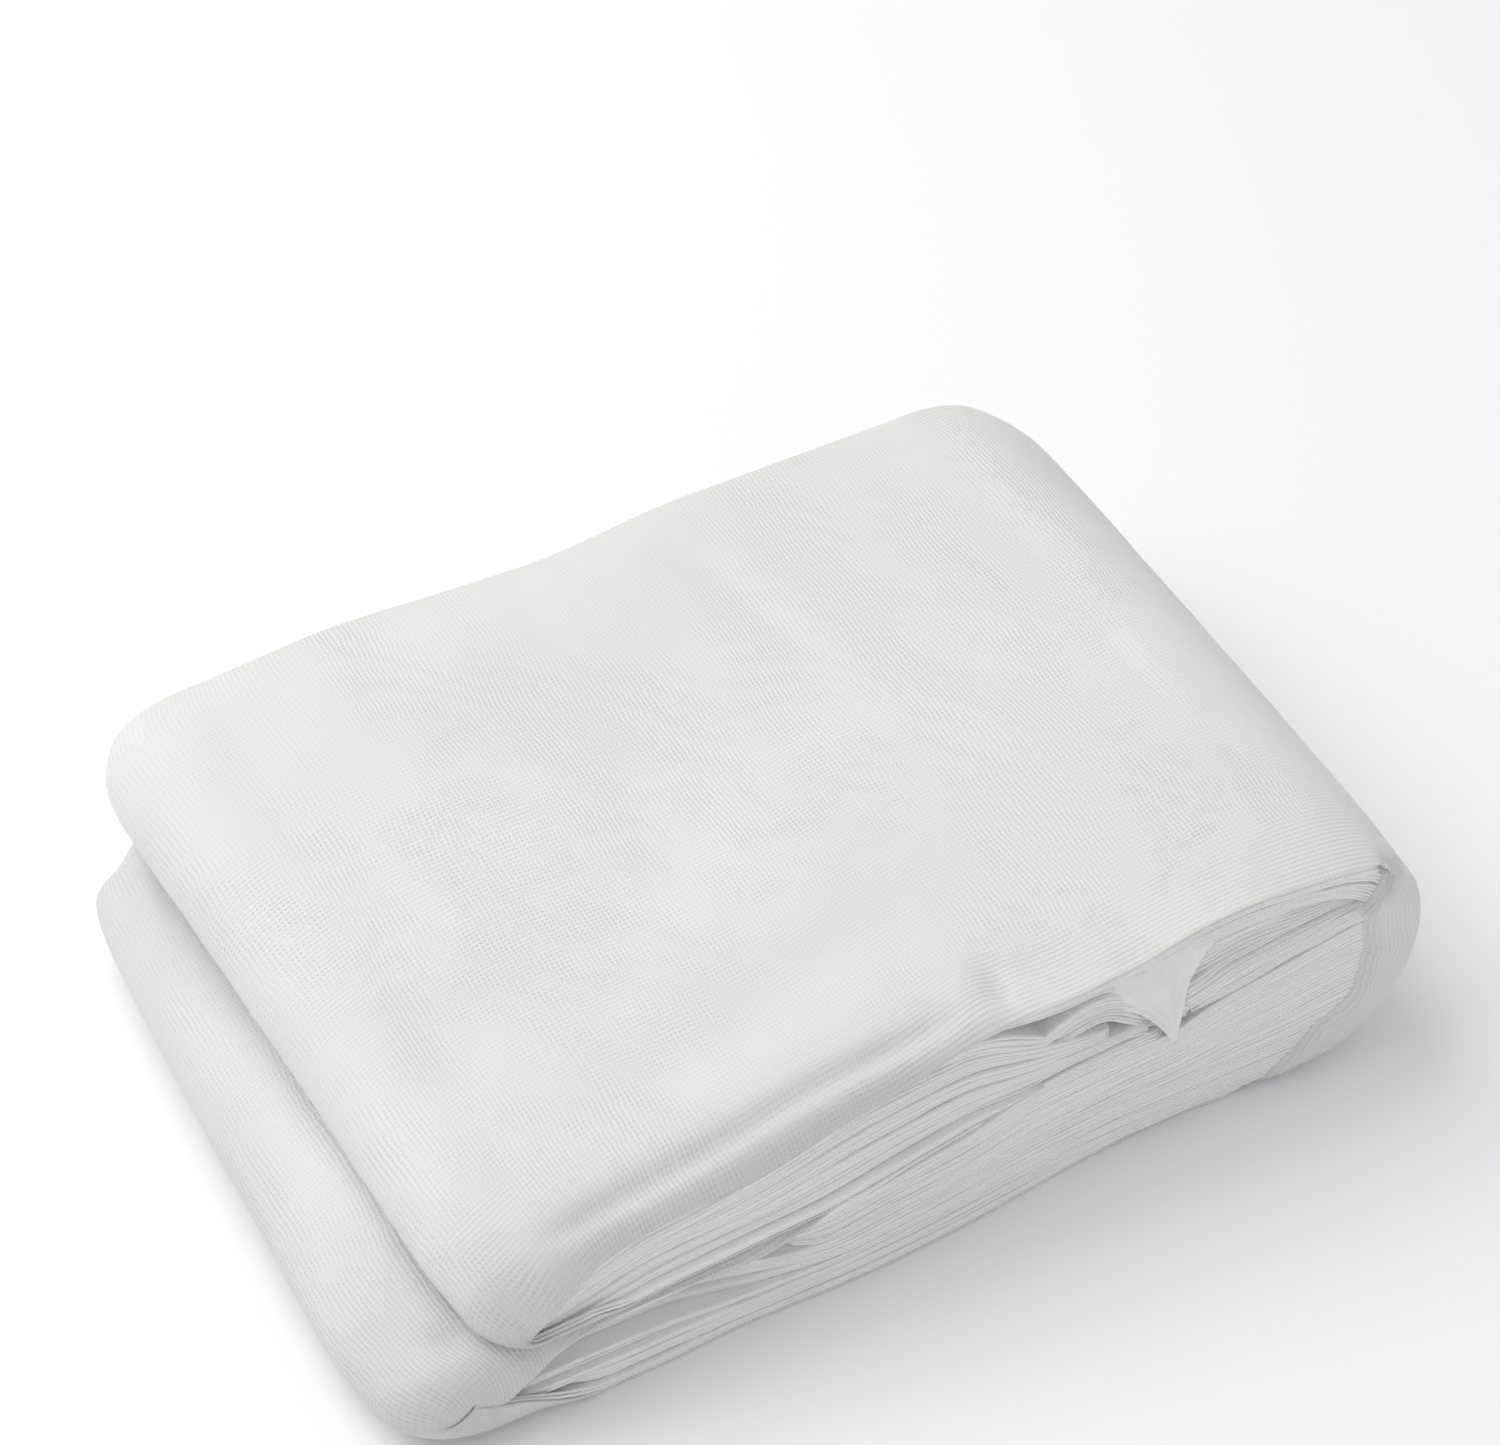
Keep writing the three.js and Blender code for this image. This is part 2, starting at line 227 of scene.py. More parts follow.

# Rims of the lower arm and the rolled near edge where shade is painted into the net, as stretches in metres:
# by run along the strip or distance from its edge
LOBE_RUN = ((0.178, 0.215), (0.235, 0.27))
LOBE_NEAR = (0.02, 0.09)
LOBE_FAR = (0.13, 0.2)
ROLL_RUN = (0.70, 0.76)
ROLL_NEAR = (0.008, 0.03)

# Patches of weave, of ribs and of tone: scale and detail of the noise, and the values at which it is 0 and 1
GRID_PATCHES = (13.0, 2.0, 0.40, 0.60)
RIB_PATCHES = (15.0, 2.0, 0.45, 0.60)
TONE_PATCHES = (14.0, 3.0, 0.3, 0.7)

# Unevenness of the threads, slow and fast: scale of the noise and reach in metres
DRIFT = (22.0, 0.007)
SHIVER = (260.0, 0.0011)

# Camera, in the frame of the section
CAMERA_AZIMUTH = -28.0
CAMERA_ELEVATION = 45.0
CAMERA_DISTANCE = 1217.0
CAMERA_AIM = (45.0, 54.0, 45.0)
CAMERA_LENS = 100.8

# Lights, in metres in the part's own frame: place, size, power, colour
LIGHTS = {
    "key": ((-0.6, 0.65, 1.35), 1.8, 19.0, (1.0, 0.995, 0.98)),
    "fill": ((0.1, -1.6, 0.5), 1.4, 1.9, (0.99, 0.99, 1.0)),
}
LIGHT_AIM = (0.0, 0.0, 0.03)
WORLD_COLOUR = (0.965, 0.97, 1.0, 1.0)
WORLD_STRENGTH = 0.6
FLOOR_SIDE = 12.0


def smooth(a, b, v):
    t = np.clip((v - a) / (b - a), 0.0, 1.0)
    return t * t * (3.0 - 2.0 * t)


def hump(a, b, c, d, v):
    return smooth(a, b, v) * (1.0 - smooth(c, d, v))


def spot(x, y, at_x, at_y, wide_x, wide_y, turn=0.0):
    """Soft round bump of height 1, wide_x by wide_y, turned by turn degrees."""
    c = math.cos(math.radians(turn))
    s = math.sin(math.radians(turn))
    u = ((x - at_x) * c + (y - at_y) * s) / wide_x
    v = (-(x - at_x) * s + (y - at_y) * c) / wide_y
    return np.exp(-u * u - v * v)


def table_curve(xs, ys, at):
    """Cubic through the rows of a table, level outside it."""
    xs = np.asarray(xs, float)
    ys = np.asarray(ys, float)
    slopes = np.empty_like(ys)
    slopes[1:-1] = (ys[2:] - ys[:-2]) / (xs[2:] - xs[:-2])
    slopes[0] = (ys[1] - ys[0]) / (xs[1] - xs[0])
    slopes[-1] = (ys[-1] - ys[-2]) / (xs[-1] - xs[-2])
    at = np.clip(at, xs[0], xs[-1])
    i = np.clip(np.searchsorted(xs, at) - 1, 0, len(xs) - 2)
    span = xs[i + 1] - xs[i]
    t = (at - xs[i]) / span
    t2 = t * t
    t3 = t2 * t
    start = (2 * t3 - 3 * t2 + 1) * ys[i] + (t3 - 2 * t2 + t) * slopes[i] * span
    end = (3 * t2 - 2 * t3) * ys[i + 1] + (t3 - t2) * slopes[i + 1] * span
    return start + end


def lower_top(x):
    return table_curve(HEIGHT_X, LOWER_TOP, x)


def bundle_top(x):
    return table_curve(HEIGHT_X, BUNDLE_TOP, x)


def upper_top(x):
    return table_curve(HEIGHT_X, UPPER_TOP, x)


def grain(ix, iy, seed):
    v = np.sin(ix * 127.1 + iy * 311.7 + seed * 74.7) * 43758.5453
    return v - np.floor(v)


def noise(x, y, seed):
    """Smooth value noise from -1 to 1 with cells of size 1."""
    x, y = np.broadcast_arrays(np.asarray(x, float), np.asarray(y, float))
    ix = np.floor(x)
    iy = np.floor(y)
    fx = x - ix
    fy = y - iy
    fx = fx * fx * fx * (fx * (fx * 6 - 15) + 10)
    fy = fy * fy * fy * (fy * (fy * 6 - 15) + 10)
    low = grain(ix, iy, seed) * (1 - fx) + grain(ix + 1, iy, seed) * fx
    high = grain(ix, iy + 1, seed) * (1 - fx) + grain(ix + 1, iy + 1, seed) * fx
    return 2.0 * (low * (1 - fy) + high * fy) - 1.0


def arm_room(x):
    return ARM_ROOM * (1 - 0.7 * smooth(-10, 20, x))


def lower_pass(index, x):
    """Height and thickness of one folded pass of the lower arm at x."""
    full = smooth(SHORT_START, SHORT_END, x)
    first_gone = smooth(90, 112, x)
    floor = LOOPS * PITCH
    roof = lower_top(x) - LOOPS * PITCH * (1 - smooth(CROTCH_END, CROTCH_FADE, x))
    count = len(LOWER_PASSES) - SHORT_COUNT * (1 - full) - first_gone
    slot = index - first_gone
    if index >= SHORT_FIRST + SHORT_COUNT:
        slot = slot - SHORT_COUNT * (1 - full)
    pitch = (roof - floor) / count
    return roof - pitch * (slot + 0.5), pitch - ROOM


def upper_pass(index, x):
    """Height and thickness of one folded pass of the upper arm at x."""
    floor = lower_top(x) + arm_room(x) + PITCH * (LOOPS - smooth(CROTCH_END, CROTCH_FADE, x))
    pitch = (upper_top(x) - floor) / len(UPPER_PASSES)
    return floor + pitch * (index + 0.5), pitch - ROOM


class Path:
    """Centre line of the strip in the section: rows of x, z, thickness, kind of layer, arm."""

    def __init__(self, step):
        self.rows = []
        self.arm = 0
        self.step = step

    def add(self, x, z, t, kind):
        self.rows.append((x, z, t, kind, self.arm))

    def run(self, from_x, to_x, kind, place):
        count = max(2, round(abs(to_x - from_x) / self.step))
        for i in range(count + 1):
            x = from_x + (to_x - from_x) * i / count
            z, t = place(x)
            self.add(x, float(z), float(t), kind)

    def turn(self, to, reach, kind, fullness=1.0, end_fullness=None):
        x0, z0, t0 = self.rows[-1][:3]
        x1, z1, t1 = to
        length = math.pi * math.hypot(reach, (z1 - z0) / 2) / math.sqrt(2)
        steps = max(6, round(length / self.step))
        for i in range(1, steps):
            a = math.pi * i / steps
            t = (1 - math.cos(a)) / 2
            power = fullness if end_fullness is None else fullness + (end_fullness - fullness) * a / math.pi
            bulge = reach * math.sin(a) ** power
            self.add(x0 + (x1 - x0) * t + bulge, z0 + (z1 - z0) * t, t0 + (t1 - t0) * t, kind)


def thinning(x):
    """Share of its thickness that a loop keeps where it runs out between the arms."""
    return np.maximum(0.08, 1 - smooth(CROTCH_END, CROTCH_FADE, x))


def loop_heights(loop):
    """Heights of one loop: over the lower arm, along the bottom, over all, under the upper arm."""
    inset = PITCH * (loop + 0.5)

    def over_lower(x):
        kept = thinning(x)
        return lower_top(x) - inset * kept, (STRIP + PLY_FILL) * kept - PLY_FILL

    def bottom(x):
        return inset, STRIP

    def over_all(x):
        return bundle_top(x) - inset, STRIP

    def under_upper(x):
        kept = thinning(x)
        if loop == OUTER:
            return lower_top(x) + arm_room(x) + inset * kept, (STRIP + PLY_FILL) * kept - PLY_FILL
        return lower_top(x) + arm_room(x) + inset - PITCH * (1 - kept), STRIP

    return inset, over_lower, bottom, over_all, under_upper


def add_loop(path, loop):
    inset, over_lower, bottom, over_all, under_upper = loop_heights(loop)
    path.arm = 0
    path.run(LOOP_END_X, LOWER_END_X, loop, over_lower)
    path.turn((LOWER_END_X, inset, STRIP), -(LOWER_END_REACH - inset), loop)
    path.run(LOWER_END_X, BEND_X, loop, bottom)
    top, _ = over_all(BEND_X)
    path.turn((BEND_X, float(top), STRIP), BEND_R - inset, loop, BEND_FULLNESS)
    path.arm = 1
    path.run(BEND_X, UPPER_END_X, loop, over_all)
    under, _ = under_upper(UPPER_END_X)
    path.turn((UPPER_END_X, float(under), STRIP), -(UPPER_END_REACH - inset), loop, *NOSE_FULLNESS)
    path.run(UPPER_END_X, LOOP_END_X if loop == OUTER else UPPER_PASSES[0][1], loop, under_upper)


def add_passes(path, passes, place, first_turn):
    for i, (left, right) in enumerate(passes):
        goes_left = i % 2 == 0
        from_x = right if goes_left else left
        to_x = left if goes_left else right
        z, t = place(i, from_x)
        if i > 0 or first_turn:
            reach = abs(float(z) - path.rows[-1][1]) / 2
            path.turn((from_x, float(z), float(t)), reach if goes_left else -reach, FOLD)
        path.run(from_x, to_x, FOLD, lambda x: place(i, x))


def add_mouth_fold(path):
    points = [path.rows[-1][:2]] + list(MOUTH_FOLD)
    far = np.cumsum([0] + [math.dist(a, b) for a, b in zip(points, points[1:])])
    steps = round(far[-1] / path.step)
    start = path.rows[-1][2]
    for i in range(1, steps + 1):
        d = far[-1] * i / steps
        x = table_curve(far, [p[0] for p in points], d)
        z = table_curve(far, [p[1] for p in points], d)
        thick = start + (MOUTH_THICK - start) * float(smooth(0, 12, d))
        path.add(float(x), float(z), thick, FOLD)


def through(points, thick, kind, arm, step):
    """Rows of a path through the given section points."""
    far = np.cumsum([0] + [math.dist(a, b) for a, b in zip(points, points[1:])])
    count = max(4, round(far[-1] / step))
    d = np.linspace(0, far[-1], count + 1)
    x = table_curve(far, [p[0] for p in points], d)
    z = table_curve(far, [p[1] for p in points], d)
    same = np.ones(count + 1)
    t = table_curve(far, thick, d) if isinstance(thick, list) else thick * same
    return np.stack([x, z, t, kind * same, arm * same], 1)


def liner_path(index, step):
    """One inner turn inside the mouth: under the top, round the bend and back on the lower arm."""
    inset = LOOPS * PITCH + LINER_FIRST + LINER_PITCH * index
    rise = LINER_FIRST + LINER_PITCH * index
    radius = BEND_R - inset
    start = LINER_START[0] + LINER_START[1] * index
    end = LINER_END[0] + LINER_END[1] * index
    low = float(lower_top(150.0)) + rise
    last = math.acos((low + 2 * LINER_LOOP - BEND_Z) / radius)
    top = [(x, float(bundle_top(x)) - inset) for x in np.linspace(start, BEND_X, 5)]
    arc = []
    for share in (0.25, 0.5, 0.75, 1.0):
        a = last * share
        arc.append((BEND_X + radius * math.sin(a) ** BEND_FULLNESS, BEND_Z + radius * math.cos(a)))
    tip = (arc[-1][0] + LINER_LOOP, low + LINER_LOOP)
    back = [(x, float(lower_top(x)) + rise) for x in np.linspace(arc[-1][0], end, 5)]
    return through(top + arc + [tip] + back, LINER_THICK, LINING, 1, step)


def slack_path(index, step):
    """One slack layer across the mouth, from the folded passes at the left into the bend."""
    line = [(x + index * dx, z + index * dz) for (x, z), (dx, dz) in zip(SLACK_LINE, SLACK_RISE)]
    thick = [SLACK_SHARE * rise for _, rise in SLACK_RISE]
    return through(line, thick, SLACK, 1, step)


def loop_path(loop, step):
    path = Path(step)
    add_loop(path, loop)
    return np.array(path.rows)


def fold_path(upper, step):
    path = Path(step)
    if upper:
        under_upper = loop_heights(SECOND)[-1]
        x = UPPER_PASSES[0][1]
        z, t = under_upper(x)
        path.arm = 1
        path.add(x, float(z), t, FOLD)
        add_passes(path, UPPER_PASSES, upper_pass, True)
        add_mouth_fold(path)
    else:
        path.arm = 0
        add_passes(path, LOWER_PASSES, lower_pass, False)
    return np.array(path.rows)


def arc_length(rows):
    steps = np.hypot(np.diff(rows[:, 0]), np.diff(rows[:, 1]))
    return np.concatenate([[0.0], np.cumsum(steps)])


def inward_normals(rows):
    ahead = np.vstack([rows[1:, :2], rows[-1:, :2]])
    behind = np.vstack([rows[:1, :2], rows[:-1, :2]])
    d = ahead - behind
    d /= np.maximum(np.hypot(d[:, 0], d[:, 1]), 1e-6)[:, None]
    return np.stack([-d[:, 1], d[:, 0]], 1)


def top_droop(x):
    """How far the near edge of the upper arm hangs down."""
    corner = 14 * (1 - smooth(-116, -88, x))
    side = 5 * hump(-110, -90, -45, -5, x)
    over_mouth = 4 * hump(22, 48, 76, 102, x)
    shoulder = 4.5 * smooth(110, 142, x)
    return corner + side + over_mouth + shoulder


def pressed(x, z, hang):
    base = np.minimum(lower_top(x), bundle_top(x) - 20)
    drop = 1 - top_droop(x) * hang / (bundle_top(x) - base)
    return np.where(z <= base, z, base + (z - base) * drop)


def top_relief(x, y):
    """Soft sags and creases of the upper arm, in millimetres up."""
    edge = smooth(NEAR, NEAR + 14, y) * (1 - smooth(FAR - 22, FAR - 2, y))
    soft = 0.9 * noise(x / 62.0, y / 55.0, 5.0) + 0.45 * noise(x / 27.0, y / 31.0, 6.0)
    creases = sum(height * spot(x, y, *where) for height, *where in CREASES)
    groove = -ROLL_GROOVE * np.exp(-((y - NEAR - 10.5) / 3.4) ** 2) * hump(-104, -86, 4, 40, x)
    return (soft + creases) * edge + groove


def lobe_relief(x, y):
    """Soft unevenness of the lower arm where it shows at the left."""
    soft = 0.8 * noise(x / 40.0, y / 46.0, 15.0) + 0.3 * noise(x / 17.0, y / 21.0, 16.0)
    dimple = -2.2 * spot(x, y, -123, -94, 5, 5)
    past = FACET_SIDE[0] * (x - FACET_AT[0]) + FACET_SIDE[1] * (y - FACET_AT[1])
    facet = (0.9 * np.exp(-((past + 4.0) / 4.0) ** 2) - 6.0 * smooth(-1.0, 9.0, past)) * smooth(46, 74, y)
    return (soft + dimple + facet) * (1 - smooth(-110, -60, x))


def relief(x, y, z, arm):
    """Rise of a point in the bundle; layers under the surface follow it less and less."""
    low = lower_top(x)
    on_top = np.clip((z - low) / np.maximum(bundle_top(x) - low, 1.0), 0.0, 1.0)
    on_lobe = np.clip(z / low, 0.0, 1.0) ** 2
    return np.where(arm > 0.5, on_top * top_relief(x, y), on_lobe * lobe_relief(x, y))


def layer_waves(x, y, z):
    """Uneven bunching of the layers towards the near and the far edge."""
    edge = 1 - smooth(NEAR + 6, NEAR + 34, y) * (1 - smooth(FAR - 34, FAR - 6, y))
    inside = smooth(3.5, 12, z) * (1 - smooth(-7, -1, z - bundle_top(x)))
    drift = 0.8 * noise(x / 52.0, z / 8.0, 31.0) + 0.35 * noise(x / 19.0, z / 5.0, 32.0)
    return drift * edge * inside


def nose_droop(x, y, z, arm):
    """Lets the left end of the upper arm sink onto the lower arm, more so towards the near side."""
    low = lower_top(x)
    tall = np.maximum(bundle_top(x) - low, 1.0)
    share = np.clip((z - low) / tall, 0.0, 1.0)
    power = 1 + arm * (1 - smooth(-108, -66, x)) * (0.85 - 0.6 * smooth(-90, 60, y))
    return np.where(z > low, z + (share ** power - share) * tall, z)


def place_points(x, y, z, arm):
    """Moves section points at width position y to their place in the bundle."""
    at = {name: table_curve(ACROSS_Y, row, y) for name, row in ACROSS.items()}
    z = nose_droop(x, y, z, arm)
    left = 1 - smooth(-150, -60, x)
    right = smooth(90, 165, x)
    low = pressed(x, z + layer_waves(x, y, z) + relief(x, y, z, arm), at["hang"])
    px = x - left * arm * at["shift"] + left * at["left"] - right * at["right"]
    lift = 1 + at["lift"] * (1 - smooth(-115, 25, x))
    crown = 1 + at["crown"] * smooth(20, 60, z)
    return np.stack([px, y, low * lift * crown], -1)


def bend_curl(x, z):
    """Millimetres of cloth that turn in at the near edge of the outermost loop."""
    angle = np.arctan2(z - BEND_Z, x - BEND_X)
    uneven = 1 + 0.07 * noise(angle * 3.1, 0.0 * x, 71.0) + 0.03 * noise(angle * 9.0, 0.0 * x, 72.0)
    at_bend = BAND_WIDTH * uneven * hump(*BAND_ANGLES, angle) * smooth(94, 128, x)
    return np.where(x > 100, at_bend, 0.0)


def edge_curl(rows):
    x, z, arm = rows[:, 0], rows[:, 1], rows[:, 4]
    over = (arm < 0.5) & (z > 15) & (x < 20)
    under = (arm < 0.5) & (z <= 15) & (x < 20)
    lip = np.where(over, table_curve(LIP_X, LIP_CURL, x), 0.0)
    foot = np.where(under, table_curve(FOOT_X, FOOT_CURL, x), 0.0)
    on_top = (arm > 0.5) & (z > bundle_top(x) - PITCH)
    rolled = np.where(on_top, table_curve(ROLL_X, ROLL_CURL, x), 0.0)
    at_end = (arm > 0.5) & (x < -40) & ~on_top
    tucked = np.where(at_end, 12 * (1 - smooth(-92, -70, x)), 0.0)
    return bend_curl(x, z) + lip + foot + rolled + tucked


def corner_setback(rows):
    """Rounds the corners in plan where a folded pass turns back."""
    x = rows[:, 0]
    step = np.diff(x, prepend=x[:1] - 1)
    turns = np.nonzero(np.sign(step[1:]) * np.sign(step[:-1]) < 0)[0]
    back = np.zeros(len(x))
    place = np.arange(len(x))
    for i in turns:
        close = np.abs(place - i) < 40
        left_radius = CORNER_R if rows[i, 4] < 0.5 else CORNER_RIGHT
        radius = left_radius if x[i] < 0 else CORNER_BEND if x[i] > 100 else CORNER_RIGHT
        gap = np.clip(np.abs(x - x[i]), 0, radius)
        rounded = radius - np.sqrt(radius ** 2 - (radius - gap) ** 2)
        back = np.maximum(back, np.where(close, rounded, 0.0))
    return back


def side_slope(rows):
    """How far the upper arm's side leans back towards its top."""
    x = rows[:, 0]
    low = lower_top(x)
    height = np.clip((rows[:, 1] - low) / np.maximum(bundle_top(x) - low, 1.0), 0, 1)
    along = smooth(-108, -84, x) * (1 - smooth(30, 62, x))
    return np.where(rows[:, 4] > 0.5, SIDE_SLOPE * (height - 0.35) * along, 0.0)


def lower_corner(rows):
    """How far the lower edge of the stack rounds back towards the bend, where no band covers it."""
    x, z, kind = rows[:, 0], rows[:, 1], rows[:, 3]
    deep = np.clip(CURL_RADIUS - z, 0.0, CURL_RADIUS - 0.8)
    corner = 0.85 * (CURL_RADIUS - np.sqrt(CURL_RADIUS ** 2 - deep ** 2))
    return corner * (smooth(20, 100, x) * np.where(kind == OUTER, 1 - smooth(1, 7, bend_curl(x, z)), 1.0))


def fold_edges(rows, uneven, far_uneven):
    """Setback of the folded passes at the near and the far edge."""
    x, z = rows[:, 0], rows[:, 1]
    back = corner_setback(rows)
    in_fold = (1 - smooth(-60, -10, x)) * smooth(9, 15, z) * (1 - smooth(30, 34, z))
    return 2.0 + uneven + 9 * in_fold - 0.5 * smooth(112, 132, x) + back, 3.0 + far_uneven + 0.6 * back


def turn_edges(rows, arc, uneven, far_uneven):
    """Setback of the first and the second turn at the near and the far edge."""
    x, z = rows[:, 0], rows[:, 1]
    back = 1.2 * smooth(-22, 20, x) * (z < bundle_top(x) - 15) * (z > 12) * (x < 80)
    if rows[0, 3] == OUTER:
        foot = np.where(z < 4, 1.4 * smooth(-70, -40, x) * (1 - smooth(96, 116, x)), 0.0)
        wander = 0.7 * noise(arc / 60.0, 3.3, 21.0)
        far_wander = 0.7 * noise(arc / 60.0, 7.7, 22.0)
        return back + foot + wander, 0.6 * back - far_wander
    lobe_end = 6 * (1 - smooth(-112, -84, x)) * (rows[:, 4] < 0.5)
    setback = 1.8 - 0.4 * smooth(112, 132, x) + lobe_end + 0.6 * uneven
    return back + setback, 0.6 * back + 2.0 + 0.5 * far_uneven


def mouth_edges(rows, arc, ply, uneven, far_uneven):
    """Setback of the layers in the mouth at the near and the far edge."""
    kind = rows[0, 3]
    if kind == LINING:
        forward = 0.6 * smooth(130, 142, rows[:, 0])
        return 2.0 + 0.2 * ply + 0.5 * uneven - forward, 5.0 + 2.0 * ply + far_uneven
    if kind == FILLING:
        return 2.6 + 0.5 * ply + 0.8 * uneven, 5.0 + far_uneven
    return 2.4 + 0.38 * ply + 0.9 * noise(arc / 21.0, ply * 0.45, 61.0), 6.0 + ply + far_uneven


def cloth_edges(rows, arc, ply):
    """Near and far edge of a ply along the strip."""
    x, kind = rows[:, 0], rows[0, 3]
    seed = 11.0 + ply * 3.0
    shared = 0.8 * noise(x / 48.0, rows[:, 1] / 14.0, 40.0)
    own = 0.28 * noise(arc / 34.0, ply * 7.3 + 2.0, seed) + 0.12 * noise(arc / 9.0, ply * 3.1, seed + 1)
    uneven = (shared + own) * (1 - 0.9 * smooth(88, 112, x))
    far_uneven = shared + 0.8 * noise(arc / 37.0, ply * 5.7 + 8.0, seed + 2)
    if kind == FOLD:
        near_back, far_back = fold_edges(rows, uneven, far_uneven)
    elif kind in (OUTER, SECOND):
        near_back, far_back = turn_edges(rows, arc, uneven, far_uneven)
    else:
        near_back, far_back = mouth_edges(rows, arc, ply, uneven, far_uneven)
    near = NEAR + 5 * smooth(-20, 90, x) + side_slope(rows) + lower_corner(rows) + near_back
    far = FAR - 3 * smooth(50, 130, x) - far_back
    return near, far


def column_distances(columns, near, far):
    """Distance in cloth from the near edge, by station and column."""
    fine, wide, ends = (np.array(part, float) for part in columns)
    width = far - near
    span = width - fine[-1] - ends[0]
    return np.concatenate([np.broadcast_to(fine, (len(near), len(fine))),
                           fine[-1] + span[:, None] * wide[None, :],
                           width[:, None] - ends[None, :]], 1)


def curl_in(near, curl, d, offset, tuck, rounded):
    """Width position and inward offset of cloth that curls in over the length curl at its edge.

    Its very edge dives in by tuck. Where rounded is 1, cloth that curls less leaves the edge rounded.
    """
    arc = np.maximum(curl - d, 0.0)
    quarter = CURL_RADIUS * math.pi / 2
    angle = np.minimum(arc / CURL_RADIUS, math.pi / 2)
    past = np.maximum(0.0, arc - quarter)
    reach = CURL_RADIUS * np.maximum(rounded, np.sin(np.minimum(curl / CURL_RADIUS, math.pi / 2)))
    start = near + reach + np.maximum(d - curl, 0.0)
    dive = tuck * smooth(0.7, 0.97, arc / np.maximum(curl, 1.0))
    y = start - (CURL_RADIUS - offset) * np.sin(angle) + dive
    inward = CURL_RADIUS - (CURL_RADIUS - offset) * np.cos(angle) + past
    share = smooth(0, CURL_SOFT, curl)
    return (near + d) * (1 - share) + y * share, offset * (1 - share) + inward * share


def edge_round(d, rest, half, radius):
    """Half thickness that falls to a rounded rim at both edges."""
    close = np.clip(np.minimum(d, rest) / radius, 0.0, 1.0)
    return half * np.maximum(0.3, np.sqrt(1 - (1 - close) ** 2))


def ply_drift(rows, arc, ply, edge):
    """Small waves of a ply near its edges, and how far the plies under the outermost one draw in."""
    wave = 0.22 * noise(arc / 23.0, ply * 4.7, 51.0) + 0.12 * noise(arc / 7.0, ply * 9.1, 52.0)
    tuck = (rows[:, 3] == OUTER) * (ply > 0) * 0.4
    waves = (wave * (rows[:, 3] != OUTER))[:, None] * (1 - smooth(8, 24, edge))
    return waves + tuck[:, None] * smooth(2, 9, edge)


def ply_surface(rows, ply, plies, columns, crinkle=None, curl=None, place=None):
    """Two faces of one ply as an array (stations, 2 * columns, 3), with the cloth coordinates."""
    arc = arc_length(rows)
    normal = inward_normals(rows)
    near, far = cloth_edges(rows, arc, ply)
    full = rows[:, 2] + (0.0 if rows[0, 3] == SLACK else PLY_FILL)
    thick = full / plies
    middle = (ply + 0.5 - plies / 2 if place is None else place) * thick
    d = column_distances(columns, near, far)
    rest = (far - near)[:, None] - d
    half = edge_round(d, rest, (thick * PLY_SHARE)[:, None], EDGE_R)
    drift = ply_drift(rows, arc, ply, np.minimum(d, rest))
    bent = np.zeros(len(rows)) if curl is None else curl
    tucked = BAND_TUCK * smooth(92, 104, rows[:, 0]) * (rows[:, 3] == OUTER)
    rounded = smooth(60, 90, rows[:, 0]) * (1 - smooth(10, 30, rows[:, 1]))
    sides = []
    for side in (-1, 1):
        offset = middle[:, None] + side * half + drift
        y, inward = curl_in(near[:, None], bent[:, None], d, offset, tucked[:, None], rounded[:, None])
        if crinkle is not None:
            inward = inward - crinkle(rows, arc, y)
        x = rows[:, 0][:, None] + normal[:, 0][:, None] * inward
        z = rows[:, 1][:, None] + normal[:, 1][:, None] * inward
        sides.append(place_points(x, y, z, rows[:, 4][:, None]))
    points = np.concatenate([sides[0], sides[1][:, ::-1]], 1)
    cloth = np.concatenate([d, d[:, ::-1]], 1)
    along = np.broadcast_to(arc[:, None], cloth.shape)
    return points, np.stack([along, cloth], -1)


class Cloth:
    """Collects ply surfaces into one mesh with a cloth map in metres."""

    def __init__(self):
        self.points = []
        self.maps = []
        self.faces = []
        self.count = 0
        self.length = 0.0

    def add(self, points, cloth, seam):
        stations, ring, _ = points.shape
        index = self.count + np.arange(stations * ring).reshape(stations, ring)
        after = np.roll(index, -1, 1)
        quads = np.stack([index[:-1], after[:-1], after[1:], index[1:]], -1).reshape(-1, 4)
        self.faces.append(quads)
        half = ring // 2
        for row, flip in ((index[0], False), (index[-1], True)):
            front = row[:half]
            back = row[half:][::-1]
            cap = np.stack([front[:-1], back[:-1], back[1:], front[1:]], -1)
            self.faces.append(cap[:, ::-1] if flip else cap)
        self.points.append(points.reshape(-1, 3))
        self.maps.append(cloth.reshape(-1, 2) + np.array([0.0, seam]))
        self.count += stations * ring
        self.length += cloth[-1, 0, 0]

    def build(self, name):
        points = (np.concatenate(self.points) - np.array(ORIGIN)) * MM
        maps = np.concatenate(self.maps) * MM
        faces = np.concatenate(self.faces)
        mesh = bpy.data.meshes.new(name)
        mesh.vertices.add(len(points))
        mesh.vertices.foreach_set("co", points.astype(np.float32).ravel())
        mesh.loops.add(faces.size)
        mesh.loops.foreach_set("vertex_index", faces.astype(np.int32).ravel())
        mesh.polygons.add(len(faces))
        mesh.polygons.foreach_set("loop_start", np.arange(0, faces.size, 4, dtype=np.int32))
        mesh.polygons.foreach_set("use_smooth", np.ones(len(faces), bool))
        layer = mesh.uv_layers.new(name="cloth")
        layer.uv.foreach_set("vector", maps[faces.ravel()].astype(np.float32).ravel())
        mesh.update()
        mesh.validate()
        piece = bpy.data.objects.new(name, mesh)
        bpy.context.scene.collection.objects.link(piece)
        return piece


